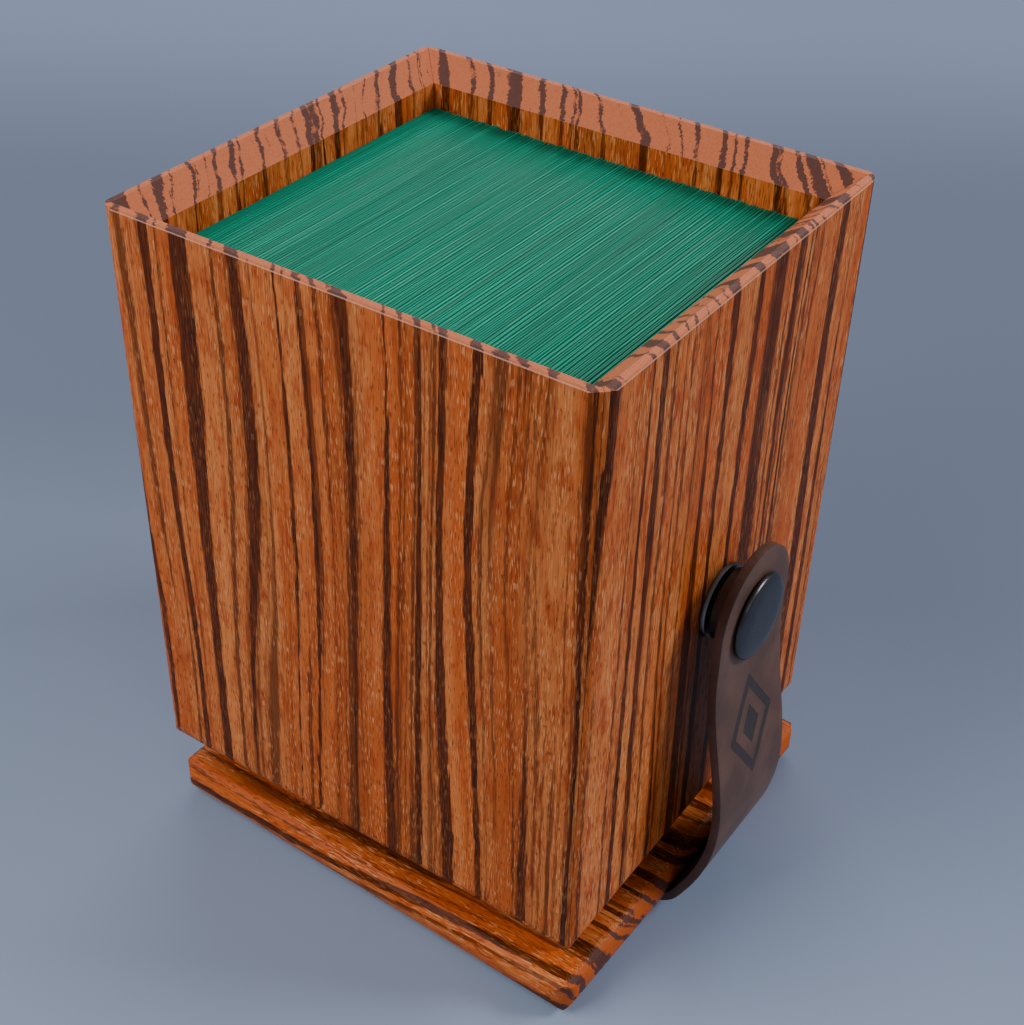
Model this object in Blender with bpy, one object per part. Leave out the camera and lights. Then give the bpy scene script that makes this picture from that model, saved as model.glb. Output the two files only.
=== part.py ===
"""Wooden card box standing on its own upside-down lid, with a snap-closed leather strap.

Row frame, metres: origin on the ground under the middle of the box, +X towards the strap,
+Z up. The lid lies outer face down; the box stands on the lid's raised field.
"""
import math

import bmesh
import bpy
from mathutils import Matrix, Vector

MM = 0.001
COLLECTION_NAME = "card_deck_box"
CUTTER_COLLECTION_NAME = "cutters"
MERGE_DISTANCE = 0.00001

# Gaps between touching pieces
REST_GAP = 0.3 * MM
GLUE_GAP = 0.1 * MM
BORE_GAP = 0.15 * MM
CUT_OVERRUN = 2.0 * MM

# Box
BOX_LENGTH = 88.0 * MM
BOX_DEPTH = 80.0 * MM
BOX_HEIGHT = 109.0 * MM
WALL_THICKNESS = 6.0 * MM
RIM_SLOPE_WIDTH = 4.5 * MM
RIM_SLOPE_DEPTH = 3.8 * MM
FOOT_RADIUS = 6.0 * MM
CORNER_RADIUS = 3.0 * MM
RIM_EASE = 0.5 * MM
FLOOR_THICKNESS = 7.8 * MM

# Lid, outer face down
LID_THICKNESS = 8.0 * MM
LID_FIELD_HEIGHT = 3.5 * MM
LID_FIELD_CLEARANCE = 0.2 * MM
LID_CORNER_RADIUS = 4.5 * MM
LID_EDGE_RADIUS = 4.6 * MM
LID_EDGE_EASE = 2.8 * MM
LID_SHIFT_X = 2.2 * MM
LID_SHIFT_Y = -1.2 * MM
LID_TURN = math.radians(-1.3)

# Cards on edge, in ten packets of ten
SLEEVE_WIDTH = 66.6 * MM
SLEEVE_HEIGHT = 92.9 * MM
PACKET_COUNT = 10
CARDS_PER_PACKET = 10
DECK_LENGTH = 75.2 * MM
DECK_SHIFT_Y = 0.5 * MM
PACKET_GAP = 0.12 * MM
SLEEVE_GROOVE_DEPTH = 1.1 * MM
SLEEVE_GROOVE_SHARE = 0.26
CARD_HEIGHT_STEP = 0.22 * MM

# Strap
STRAP_WIDTH = 22.0 * MM
STRAP_THICKNESS = 1.5 * MM
STRAP_FACE_GAP = 0.1 * MM
STRAP_INNER_END_X = 15.0 * MM
STRAP_FOLD_START_X = 41.5 * MM
STRAP_FOLD_RADIUS = 6.75 * MM
STRAP_FOLD_ANGLE = math.radians(60.0)
STRAP_BOW_LOWER = 24.2 * MM
STRAP_BOW_UPPER = 20.0 * MM
STRAP_STRAIGHT_BELOW_SNAP = 5.6 * MM
STRAP_TIP_RISE = 1.0 * MM
STRAP_SLOT_CLEARANCE = 0.25 * MM
SEAM_GAP = 0.1 * MM
PATH_STEPS_FOLD = 8
PATH_STEPS_BOW = 24

# Snap, on an axis along X through the strap-side wall
SNAP_HEIGHT_ON_BOX = 50.4 * MM
STUD_FLANGE_RADIUS = 6.5 * MM
STUD_FLANGE_THICKNESS = 0.7 * MM
STUD_SEAT_GAP = 0.15 * MM
STUD_NECK_RADIUS = 1.9 * MM
STUD_HEAD_RADIUS = 2.3 * MM
STUD_HEIGHT = 3.7 * MM
STUD_SHANK_RADIUS = 1.5 * MM
STUD_SHANK_LENGTH = 4.6 * MM
SOCKET_RADIUS = 6.2 * MM
SOCKET_THICKNESS = 3.4 * MM
SOCKET_BORE_RADIUS = 2.75 * MM
SOCKET_PLATE_THICKNESS = 0.4 * MM
CAP_RADIUS = 7.5 * MM
CAP_EDGE_THICKNESS = 0.45 * MM
CAP_DOME_HEIGHT = 1.1 * MM
CAP_DOME_FLATNESS = 0.45
CAP_POST_RADIUS = 1.9 * MM
SNAP_STACK_GAP = 0.25 * MM
STRAP_STANDOFF = 5.75 * MM

# Countersunk screws that hold the strap's inner end in the lid
SCREW_X_POSITIONS = (21.0 * MM, 32.0 * MM)
SCREW_HEAD_RADIUS = 3.3 * MM
SCREW_HEAD_HEIGHT = 1.7 * MM
SCREW_SHANK_RADIUS = 1.5 * MM
SCREW_LENGTH = 8.0 * MM
SCREW_FACE_INSET = 0.15 * MM
SCREW_SLOT_WIDTH = 0.9 * MM
SCREW_SLOT_DEPTH = 0.7 * MM

# Facets
ROUND_STEPS = 48
CAP_ROUND_STEPS = 96
SMALL_ROUND_STEPS = 32
CORNER_STEPS = 6
FOOT_STEPS = 7
EASE_STEPS = 5
TIP_STEPS = 24

# Levels and derived places
LID_FIELD_TOP = LID_THICKNESS + LID_FIELD_HEIGHT
BOX_BOTTOM = LID_FIELD_TOP + REST_GAP
BOX_TOP = BOX_BOTTOM + BOX_HEIGHT
BOX_HALF_X = BOX_LENGTH / 2
BOX_HALF_Y = BOX_DEPTH / 2
WELL_HALF_X = BOX_HALF_X - WALL_THICKNESS
WELL_HALF_Y = BOX_HALF_Y - WALL_THICKNESS
DECK_BOTTOM = BOX_BOTTOM + FLOOR_THICKNESS + REST_GAP
SNAP_Z = BOX_BOTTOM + SNAP_HEIGHT_ON_BOX
STRAP_REST_X = BOX_HALF_X + STRAP_STANDOFF

# Colours
WOOD_COLOUR = (0.42, 0.15, 0.05, 1.0)
FLOOR_COLOUR = (0.40, 0.16, 0.06, 1.0)
LEATHER_COLOUR = (0.10, 0.055, 0.042, 1.0)
GUNMETAL_COLOUR = (0.07, 0.08, 0.09, 1.0)
STEEL_COLOUR = (0.45, 0.43, 0.40, 1.0)
SLEEVE_COLOUR = (0.01, 0.17, 0.09, 1.0)


def clear_scene():
    for obj in list(bpy.data.objects):
        bpy.data.objects.remove(obj, do_unlink=True)


def add_collection(name, hidden):
    collection = bpy.data.collections.new(name)
    bpy.context.scene.collection.children.link(collection)
    collection.hide_render = hidden
    return collection


def add_material(name, colour, roughness, metallic):
    material = bpy.data.materials.new(name)
    material.use_nodes = True
    shader = material.node_tree.nodes["Principled BSDF"]
    shader.inputs["Base Color"].default_value = colour
    shader.inputs["Roughness"].default_value = roughness
    shader.inputs["Metallic"].default_value = metallic
    material.diffuse_color = colour
    return material


def wood(name):
    return add_material(name, WOOD_COLOUR, 0.45, 0.0)


def leather(name):
    return add_material(name, LEATHER_COLOUR, 0.6, 0.0)


def gunmetal(name):
    return add_material(name, GUNMETAL_COLOUR, 0.35, 1.0)


def add_object(name, mesh, collection, material=None):
    obj = bpy.data.objects.new(name, mesh)
    collection.objects.link(obj)
    if material is not None:
        mesh.materials.clear()
        mesh.materials.append(material)
    return obj


def tidy_mesh(mesh):
    work = bmesh.new()
    work.from_mesh(mesh)
    bmesh.ops.remove_doubles(work, verts=work.verts, dist=MERGE_DISTANCE)
    bmesh.ops.recalc_face_normals(work, faces=work.faces)
    work.to_mesh(mesh)
    work.free()


def outline_mesh(name, points, low, high, placement):
    """Closed outline in the XY plane, extruded from low to high, then placed."""
    curve = bpy.data.curves.new(name, "CURVE")
    curve.dimensions = "2D"
    curve.fill_mode = "BOTH"
    curve.extrude = (high - low) / 2
    spline = curve.splines.new("POLY")
    spline.points.add(len(points) - 1)
    for point, (x, y) in zip(spline.points, points):
        point.co = (x, y, 0.0, 1.0)
    spline.use_cyclic_u = True
    holder = bpy.data.objects.new(name, curve)
    mesh = bpy.data.meshes.new_from_object(holder)
    bpy.data.objects.remove(holder, do_unlink=True)
    bpy.data.curves.remove(curve)
    mesh.name = name
    mesh.transform(placement @ Matrix.Translation((0.0, 0.0, (high + low) / 2)))
    tidy_mesh(mesh)
    return mesh


def along_y():
    """Outline x, y becomes row x, z; the extrusion runs along row Y."""
    return Matrix(((1, 0, 0, 0), (0, 0, -1, 0), (0, 1, 0, 0), (0, 0, 0, 1)))


def along_x():
    """Outline x, y becomes row y, z; the extrusion runs along row X."""
    return Matrix(((0, 0, 1, 0), (1, 0, 0, 0), (0, 1, 0, 0), (0, 0, 0, 1)))


def arc(centre, radius, start, end, steps):
    points = []
    for step in range(steps + 1):
        angle = start + (end - start) * step / steps
        points.append((centre[0] + radius * math.cos(angle), centre[1] + radius * math.sin(angle)))
    return points


def footed_outline(half_width, low, high, radius, ease):
    """Upright rectangle with lower corners of one radius and upper corners of another."""
    right = half_width - radius
    upper_right = half_width - ease
    points = arc((-right, low + radius), radius, math.pi, 1.5 * math.pi, FOOT_STEPS)
    points += arc((right, low + radius), radius, 1.5 * math.pi, 2 * math.pi, FOOT_STEPS)
    points += arc((upper_right, high - ease), ease, 0.0, math.pi / 2, EASE_STEPS)
    points += arc((-upper_right, high - ease), ease, math.pi / 2, math.pi, EASE_STEPS)
    return points


def rounded_rectangle(half_x, half_y, radius, steps):
    points = []
    for quarter, (sx, sy) in enumerate(((1, 1), (-1, 1), (-1, -1), (1, -1))):
        centre = (sx * (half_x - radius), sy * (half_y - radius))
        start = quarter * math.pi / 2
        points += arc(centre, radius, start, start + math.pi / 2, steps)
    return points


def boolean(target, cutter, operation):
    modifier = target.modifiers.new(operation.lower(), "BOOLEAN")
    modifier.operation = operation
    modifier.solver = "EXACT"
    modifier.object = cutter
    depsgraph = bpy.context.evaluated_depsgraph_get()
    mesh = bpy.data.meshes.new_from_object(target.evaluated_get(depsgraph))
    materials = list(target.data.materials)
    target.modifiers.remove(modifier)
    old_mesh = target.data
    target.data = mesh
    mesh.name = target.name
    mesh.materials.clear()
    for material in materials:
        mesh.materials.append(material)
    bpy.data.meshes.remove(old_mesh)
    tidy_mesh(mesh)


def add_cutter(name, mesh, cutters):
    cutter = add_object(name, mesh, cutters)
    cutter.hide_render = True
    cutter.display_type = "WIRE"
    return cutter


def box_mesh(name, low, high):
    low = Vector(low)
    high = Vector(high)
    work = bmesh.new()
    bmesh.ops.create_cube(work, size=1.0)
    bmesh.ops.scale(work, vec=high - low, verts=work.verts)
    bmesh.ops.translate(work, vec=(high + low) / 2, verts=work.verts)
    mesh = bpy.data.meshes.new(name)
    work.to_mesh(mesh)
    work.free()
    return mesh


def frustum_mesh(name, lower_half, upper_half, low, high):
    """Four-sided block whose rectangular lower and upper ends differ in size."""
    work = bmesh.new()
    bmesh.ops.create_cube(work, size=2.0)
    for vert in work.verts:
        half = upper_half if vert.co.z > 0 else lower_half
        level = high if vert.co.z > 0 else low
        vert.co = Vector((vert.co.x * half[0], vert.co.y * half[1], level))
    mesh = bpy.data.meshes.new(name)
    work.to_mesh(mesh)
    work.free()
    return mesh


def turned_mesh(name, profile, steps, placement):
    """Solid of revolution about local Z from (radius, z) pairs that start and end on the axis."""
    work = bmesh.new()
    verts = [work.verts.new((radius, 0.0, height)) for radius, height in profile]
    edges = [work.edges.new(pair) for pair in zip(verts[:-1], verts[1:])]
    bmesh.ops.spin(
        work, geom=verts + edges, cent=(0, 0, 0), axis=(0, 0, 1), angle=2 * math.pi, steps=steps
    )
    bmesh.ops.remove_doubles(work, verts=work.verts, dist=MERGE_DISTANCE)
    bmesh.ops.recalc_face_normals(work, faces=work.faces)
    mesh = bpy.data.meshes.new(name)
    work.to_mesh(mesh)
    work.free()
    mesh.transform(placement)
    return mesh


def snap_axis_at(x):
    """Local Z along row +X, local origin on the snap's axis at the given x."""
    return Matrix.Translation((x, 0.0, SNAP_Z)) @ Matrix.Rotation(math.pi / 2, 4, "Y")


# ---------------------------------------------------------------- box

def box_blank(cutters):
    """Outer form of the whole box: rounded foot, eased rim, slightly rounded corners."""
    form_x = footed_outline(BOX_HALF_X, BOX_BOTTOM, BOX_TOP, FOOT_RADIUS, RIM_EASE)
    blank = add_cutter(
        "box_blank",
        outline_mesh("box_blank", form_x, -BOX_HALF_Y, BOX_HALF_Y, along_y()),
        cutters,
    )
    form_y = footed_outline(BOX_HALF_Y, BOX_BOTTOM, BOX_TOP, FOOT_RADIUS, RIM_EASE)
    reach = BOX_HALF_X + CUT_OVERRUN
    cross = add_cutter(
        "box_cross", outline_mesh("box_cross", form_y, -reach, reach, along_x()), cutters
    )
    plan = rounded_rectangle(BOX_HALF_X, BOX_HALF_Y, CORNER_RADIUS, CORNER_STEPS)
    corners = add_cutter(
        "box_corners",
        outline_mesh(
            "box_corners", plan, BOX_BOTTOM - CUT_OVERRUN, BOX_TOP + CUT_OVERRUN, Matrix.Identity(4)
        ),
        cutters,
    )
    boolean(blank, cross, "INTERSECT")
    boolean(blank, corners, "INTERSECT")
    return blank


def hollow_box(blank, cutters):
    """Cut the well and the sloping inner edge of the rim."""
    well = add_cutter(
        "box_well",
        box_mesh(
            "box_well",
            (-WELL_HALF_X, -WELL_HALF_Y, BOX_BOTTOM - CUT_OVERRUN),
            (WELL_HALF_X, WELL_HALF_Y, BOX_TOP + CUT_OVERRUN),
        ),
        cutters,
    )
    spread = RIM_SLOPE_WIDTH + CUT_OVERRUN
    overrun_depth = CUT_OVERRUN * RIM_SLOPE_DEPTH / RIM_SLOPE_WIDTH
    slope = add_cutter(
        "rim_slope",
        frustum_mesh(
            "rim_slope",
            (WELL_HALF_X - CUT_OVERRUN, WELL_HALF_Y - CUT_OVERRUN),
            (WELL_HALF_X + spread, WELL_HALF_Y + spread),
            BOX_TOP - RIM_SLOPE_DEPTH - overrun_depth,
            BOX_TOP + overrun_depth,
        ),
        cutters,
    )
    boolean(blank, well, "DIFFERENCE")
    boolean(blank, slope, "DIFFERENCE")


def mitre_outline(half_length, half_depth, side):
    """Plan of one wall between its two mitres; side is the sign of the wall's outward axis."""
    outer = CUT_OVERRUN
    inner = WALL_THICKNESS + CUT_OVERRUN
    step = GLUE_GAP / 2
    near = half_length + outer - step
    far = half_length - inner - step
    return [
        (-near, side * (half_depth + outer)),
        (near, side * (half_depth + outer)),
        (far, side * (half_depth - inner)),
        (-far, side * (half_depth - inner)),
    ]


def add_wall(name, blank, outline, parts, cutters):
    wall = add_object(name, blank.data.copy(), parts, wood(name))
    wedge = add_cutter(
        name + "_mitres",
        outline_mesh(
            name + "_mitres",
            outline,
            BOX_BOTTOM - CUT_OVERRUN,
            BOX_TOP + CUT_OVERRUN,
            Matrix.Identity(4),
        ),
        cutters,
    )
    boolean(wall, wedge, "INTERSECT")
    return wall


def drill_stud_hole(wall, cutters):
    """Blind hole in the strap-side wall for the stud's shank."""
    depth = STUD_SHANK_LENGTH + BORE_GAP
    radius = STUD_SHANK_RADIUS + BORE_GAP
    profile = [(0.0, -depth), (radius, -depth), (radius, CUT_OVERRUN), (0.0, CUT_OVERRUN)]
    hole = add_cutter(
        "stud_hole",
        turned_mesh("stud_hole", profile, SMALL_ROUND_STEPS, snap_axis_at(BOX_HALF_X)),
        cutters,
    )
    boolean(wall, hole, "DIFFERENCE")


def add_walls(parts, cutters):
    blank = box_blank(cutters)
    hollow_box(blank, cutters)
    front = mitre_outline(BOX_HALF_X, BOX_HALF_Y, -1)
    back = mitre_outline(BOX_HALF_X, BOX_HALF_Y, 1)
    strap_side = [(y, x) for x, y in mitre_outline(BOX_HALF_Y, BOX_HALF_X, 1)]
    plain_side = [(y, x) for x, y in mitre_outline(BOX_HALF_Y, BOX_HALF_X, -1)]
    add_wall("front_wall", blank, front, parts, cutters)
    add_wall("back_wall", blank, back, parts, cutters)
    add_wall("plain_side_wall", blank, plain_side, parts, cutters)
    strap_wall = add_wall("strap_side_wall", blank, strap_side, parts, cutters)
    drill_stud_hole(strap_wall, cutters)


def add_floor(parts):
    half_x = WELL_HALF_X - GLUE_GAP
    half_y = WELL_HALF_Y - GLUE_GAP
    mesh = box_mesh(
        "floor_board",
        (-half_x, -half_y, BOX_BOTTOM),
        (half_x, half_y, BOX_BOTTOM + FLOOR_THICKNESS),
    )
    material = add_material("floor_board", FLOOR_COLOUR, 0.5, 0.0)
    add_object("floor_board", mesh, parts, material)


# ---------------------------------------------------------------- cards

def packet_outline(start, count, index):
    """Side view of one packet: each card a tooth, with a narrow groove to the next one."""
    pitch = DECK_LENGTH / (PACKET_COUNT * CARDS_PER_PACKET)
    groove = pitch * SLEEVE_GROOVE_SHARE
    length = pitch * count - PACKET_GAP
    points = [(start, DECK_BOTTOM), (start + length, DECK_BOTTOM)]
    for card in reversed(range(count)):
        number = index * count + card
        top = DECK_BOTTOM + SLEEVE_HEIGHT - CARD_HEIGHT_STEP * ((number * number + 3 * number) % 4)
        left = start + pitch * card
        right = min(left + pitch - groove, start + length)
        points += [(right, top), (left, top)]
        if card:
            valley = top - SLEEVE_GROOVE_DEPTH
            points += [(left, valley), (left - groove, valley)]
    return points


def add_cards(parts):
    pitch = DECK_LENGTH / PACKET_COUNT
    for index in range(PACKET_COUNT):
        name = "card_packet_%02d" % (index + 1)
        start = -DECK_LENGTH / 2 + index * pitch + PACKET_GAP / 2
        outline = packet_outline(start, CARDS_PER_PACKET, index)
        low = -SLEEVE_WIDTH / 2 - DECK_SHIFT_Y
        high = SLEEVE_WIDTH / 2 - DECK_SHIFT_Y
        mesh = outline_mesh(name, outline, low, high, along_y())
        add_object(name, mesh, parts, add_material(name, SLEEVE_COLOUR, 0.4, 0.0))


# ---------------------------------------------------------------- strap

def strap_flat_level():
    return STRAP_FACE_GAP + STRAP_THICKNESS / 2


def fold_path():
    """Middle line from the strap's inner end to the end of the fold at the lid's edge."""
    level = strap_flat_level()
    points = [(STRAP_INNER_END_X, level)]
    centre = (STRAP_FOLD_START_X, level + STRAP_FOLD_RADIUS)
    start = -math.pi / 2
    points += arc(centre, STRAP_FOLD_RADIUS, start, start + STRAP_FOLD_ANGLE, PATH_STEPS_FOLD)
    rise = fold_direction() * SEAM_GAP
    points.append((points[-1][0] + rise.x, points[-1][1] + rise.y))
    return points


def fold_direction():
    return Vector((math.cos(STRAP_FOLD_ANGLE), math.sin(STRAP_FOLD_ANGLE)))


def bow_path():
    """Middle line from the fold, bowing away from the box, to the flat length at the snap."""
    rise = fold_direction()
    first = Vector(fold_path()[-1]) + rise * SEAM_GAP
    last = Vector((STRAP_REST_X, SNAP_Z - STRAP_STRAIGHT_BELOW_SNAP))
    handle_low = first + rise * STRAP_BOW_LOWER
    handle_high = last - Vector((0.0, STRAP_BOW_UPPER))
    points = [(first.x, first.y)]
    first = first + rise * SEAM_GAP
    for step in range(PATH_STEPS_BOW + 1):
        t = step / PATH_STEPS_BOW
        s = 1 - t
        point = first * s**3 + handle_low * (3 * s * s * t)
        point = point + handle_high * (3 * s * t * t) + last * t**3
        points.append((point.x, point.y))
    points.append((STRAP_REST_X, SNAP_Z + STRAP_TIP_RISE + STRAP_WIDTH))
    return points


def ribbon_outline(path, thickness):
    """Both faces of a ribbon of the given thickness about its middle line."""
    outer = []
    inner = []
    for index, point in enumerate(path):
        before = Vector(path[max(index - 1, 0)])
        after = Vector(path[min(index + 1, len(path) - 1)])
        run = (after - before).normalized()
        side = Vector((run.y, -run.x)) * thickness / 2
        outer.append((point[0] + side.x, point[1] + side.y))
        inner.append((point[0] - side.x, point[1] - side.y))
    return outer + inner[::-1]


def ribbon_mesh(name, path, thickness, width):
    return outline_mesh(name, ribbon_outline(path, thickness), -width / 2, width / 2, along_y())


def stadium_outline(low, high, half_width):
    """Upright strip in the YZ plane with a half-round upper end."""
    points = [(half_width, low)]
    points += arc((0.0, high - half_width), half_width, 0.0, math.pi, TIP_STEPS)
    points.append((-half_width, low))
    return points


def add_strap_tab(parts, cutters):
    """The strap above its fold, with a round tip and the hole for the snap."""
    mesh = ribbon_mesh("strap_tab", bow_path(), STRAP_THICKNESS, STRAP_WIDTH)
    tab = add_object("strap_tab", mesh, parts, leather("strap_tab"))
    tip = SNAP_Z + STRAP_TIP_RISE + STRAP_WIDTH / 2
    outline = stadium_outline(-CUT_OVERRUN, tip, STRAP_WIDTH / 2)
    reach = BOX_HALF_X + STRAP_BOW_LOWER
    rounding = add_cutter(
        "strap_tip", outline_mesh("strap_tip", outline, BOX_HALF_X, reach, along_x()), cutters
    )
    boolean(tab, rounding, "INTERSECT")
    radius = CAP_POST_RADIUS + BORE_GAP
    profile = [(0.0, 0.0), (radius, 0.0), (radius, STRAP_WIDTH), (0.0, STRAP_WIDTH)]
    hole = add_cutter(
        "snap_hole",
        turned_mesh("snap_hole", profile, SMALL_ROUND_STEPS, snap_axis_at(BOX_HALF_X)),
        cutters,
    )
    boolean(tab, hole, "DIFFERENCE")


def screw_profile(clearance, length, top_extra):
    """Countersunk screw, head down: radius and height pairs from the head's face upwards."""
    low = SCREW_FACE_INSET - top_extra
    head = SCREW_HEAD_RADIUS + clearance
    shank = SCREW_SHANK_RADIUS + clearance
    neck = SCREW_FACE_INSET + SCREW_HEAD_HEIGHT
    return [(0.0, low), (head, low), (head, SCREW_FACE_INSET), (shank, neck), (shank, length), (0.0, length)]


def screw_place(index):
    return Matrix.Translation((SCREW_X_POSITIONS[index], 0.0, 0.0))


def screw_cutters(cutters):
    holes = []
    for index in range(len(SCREW_X_POSITIONS)):
        name = "screw_hole_%d" % (index + 1)
        profile = screw_profile(BORE_GAP, SCREW_LENGTH + BORE_GAP, CUT_OVERRUN)
        mesh = turned_mesh(name, profile, SMALL_ROUND_STEPS, screw_place(index))
        holes.append(add_cutter(name, mesh, cutters))
    return holes


def add_strap_anchor(parts, screw_holes):
    """The strap's inner end, flat in the lid's slot and folded up at the lid's edge."""
    mesh = ribbon_mesh("strap_anchor", fold_path(), STRAP_THICKNESS, STRAP_WIDTH)
    anchor = add_object("strap_anchor", mesh, parts, leather("strap_anchor"))
    for hole in screw_holes:
        boolean(anchor, hole, "DIFFERENCE")


def add_strap_screws(parts, cutters):
    for index, x in enumerate(SCREW_X_POSITIONS):
        name = "strap_screw_%d" % (index + 1)
        mesh = turned_mesh(name, screw_profile(0.0, SCREW_LENGTH, 0.0), SMALL_ROUND_STEPS, screw_place(index))
        screw = add_object(name, mesh, parts, add_material(name, STEEL_COLOUR, 0.35, 1.0))
        reach = SCREW_HEAD_RADIUS + CUT_OVERRUN
        half = SCREW_SLOT_WIDTH / 2
        slot = add_cutter(
            name + "_slot",
            box_mesh(
                name + "_slot",
                (x - half, -reach, -CUT_OVERRUN),
                (x + half, reach, SCREW_FACE_INSET + SCREW_SLOT_DEPTH),
            ),
            cutters,
        )
        boolean(screw, slot, "DIFFERENCE")


# ---------------------------------------------------------------- lid

def lid_place():
    """The lid lies a little off centre and askew under the box."""
    shift = Matrix.Translation((LID_SHIFT_X, LID_SHIFT_Y, 0.0))
    return shift @ Matrix.Rotation(LID_TURN, 4, "Z")


def lid_plate_blank(parts, cutters):
    """Board with its outer (lower) edges rounded, the same size in plan as the box."""
    place = lid_place()
    form_x = footed_outline(BOX_HALF_X, 0.0, LID_THICKNESS, LID_EDGE_RADIUS, LID_EDGE_EASE)
    mesh = outline_mesh("lid", form_x, -BOX_HALF_Y, BOX_HALF_Y, place @ along_y())
    lid = add_object("lid", mesh, parts, wood("lid"))
    form_y = footed_outline(BOX_HALF_Y, 0.0, LID_THICKNESS, LID_EDGE_RADIUS, LID_EDGE_EASE)
    reach = BOX_HALF_X + CUT_OVERRUN
    cross = add_cutter(
        "lid_cross", outline_mesh("lid_cross", form_y, -reach, reach, place @ along_x()), cutters
    )
    plan = rounded_rectangle(BOX_HALF_X, BOX_HALF_Y, LID_CORNER_RADIUS, CORNER_STEPS)
    corners = add_cutter(
        "lid_corners",
        outline_mesh("lid_corners", plan, -CUT_OVERRUN, LID_THICKNESS + CUT_OVERRUN, place),
        cutters,
    )
    boolean(lid, cross, "INTERSECT")
    boolean(lid, corners, "INTERSECT")
    return lid


def raise_field(lid, cutters):
    """Raised field that drops into the box's mouth when the box is closed."""
    inset = WALL_THICKNESS + LID_FIELD_CLEARANCE
    half_x = BOX_HALF_X - inset
    half_y = BOX_HALF_Y - inset
    mesh = box_mesh(
        "lid_field",
        (-half_x, -half_y, LID_THICKNESS - CUT_OVERRUN),
        (half_x, half_y, LID_FIELD_TOP),
    )
    mesh.transform(lid_place())
    boolean(lid, add_cutter("lid_field", mesh, cutters), "UNION")


def cut_strap_slot(lid, cutters):
    """Shallow slot in the lid's outer face that follows the strap out over the edge."""
    path = fold_path()
    path[0] = (path[0][0] - STRAP_SLOT_CLEARANCE, path[0][1])
    last = Vector(path[-1])
    run = (last - Vector(path[-2])).normalized() * STRAP_WIDTH / 2
    path.append((last.x + run.x, last.y + run.y))
    thickness = STRAP_THICKNESS + 2 * STRAP_SLOT_CLEARANCE
    width = STRAP_WIDTH + 2 * STRAP_SLOT_CLEARANCE
    slot = add_cutter("strap_slot", ribbon_mesh("strap_slot", path, thickness, width), cutters)
    boolean(lid, slot, "DIFFERENCE")


def add_lid(parts, cutters, screw_holes):
    lid = lid_plate_blank(parts, cutters)
    raise_field(lid, cutters)
    cut_strap_slot(lid, cutters)
    for hole in screw_holes:
        boolean(lid, hole, "DIFFERENCE")


# ---------------------------------------------------------------- snap

def stud_profile():
    """Shank in the wall, flange on it, neck and rounded head towards the strap."""
    flange_low = STUD_SEAT_GAP
    flange_high = flange_low + STUD_FLANGE_THICKNESS
    head_low = STUD_HEIGHT - STUD_HEAD_RADIUS * 0.55
    return [
        (0.0, -STUD_SHANK_LENGTH),
        (STUD_SHANK_RADIUS, -STUD_SHANK_LENGTH),
        (STUD_SHANK_RADIUS, flange_low),
        (STUD_FLANGE_RADIUS, flange_low),
        (STUD_FLANGE_RADIUS - STUD_SEAT_GAP, flange_high),
        (STUD_NECK_RADIUS, flange_high),
        (STUD_NECK_RADIUS, head_low),
        (STUD_HEAD_RADIUS, head_low + STUD_SEAT_GAP * 2),
        (STUD_HEAD_RADIUS, STUD_HEIGHT - STUD_SEAT_GAP * 2),
        (STUD_NECK_RADIUS, STUD_HEIGHT),
        (0.0, STUD_HEIGHT),
    ]


def add_stud(parts):
    mesh = turned_mesh("snap_stud", stud_profile(), ROUND_STEPS, snap_axis_at(BOX_HALF_X))
    add_object("snap_stud", mesh, parts, gunmetal("snap_stud"))


def socket_profile():
    """Ring on the strap's back: an open bore towards the stud, a thin holed plate behind it."""
    plate_low = SOCKET_THICKNESS - SOCKET_PLATE_THICKNESS
    post_hole = CAP_POST_RADIUS + BORE_GAP
    rim = SOCKET_RADIUS - STUD_SEAT_GAP * 2
    return [
        (SOCKET_BORE_RADIUS, 0.0),
        (rim, 0.0),
        (SOCKET_RADIUS, STUD_SEAT_GAP * 2),
        (SOCKET_RADIUS, SOCKET_THICKNESS),
        (post_hole, SOCKET_THICKNESS),
        (post_hole, plate_low),
        (SOCKET_BORE_RADIUS, plate_low),
        (SOCKET_BORE_RADIUS, 0.0),
    ]


def add_socket(parts):
    back = STRAP_REST_X - STRAP_THICKNESS / 2 - SNAP_STACK_GAP
    place = snap_axis_at(back - SOCKET_THICKNESS)
    mesh = turned_mesh("snap_socket", socket_profile(), ROUND_STEPS, place)
    add_object("snap_socket", mesh, parts, gunmetal("snap_socket"))


def cap_profile():
    """Low domed cap with a hollow-ground edge and a post through the strap."""
    post_end = -(STRAP_THICKNESS + 2 * SNAP_STACK_GAP + SOCKET_PLATE_THICKNESS)
    points = [
        (0.0, post_end),
        (CAP_POST_RADIUS, post_end),
        (CAP_POST_RADIUS, 0.0),
        (CAP_RADIUS - CAP_EDGE_THICKNESS / 2, 0.0),
        (CAP_RADIUS, CAP_EDGE_THICKNESS / 2),
        (CAP_RADIUS, CAP_EDGE_THICKNESS),
    ]
    dome_steps = 8
    for step in range(1, dome_steps):
        angle = step / dome_steps * math.pi / 2
        radius = CAP_RADIUS * math.cos(angle) ** CAP_DOME_FLATNESS
        points.append((radius, CAP_EDGE_THICKNESS + CAP_DOME_HEIGHT * math.sin(angle)))
    points.append((0.0, CAP_EDGE_THICKNESS + CAP_DOME_HEIGHT))
    return points


def add_cap(parts):
    face = STRAP_REST_X + STRAP_THICKNESS / 2 + SNAP_STACK_GAP
    mesh = turned_mesh("snap_cap", cap_profile(), CAP_ROUND_STEPS, snap_axis_at(face))
    add_object("snap_cap", mesh, parts, gunmetal("snap_cap"))


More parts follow.
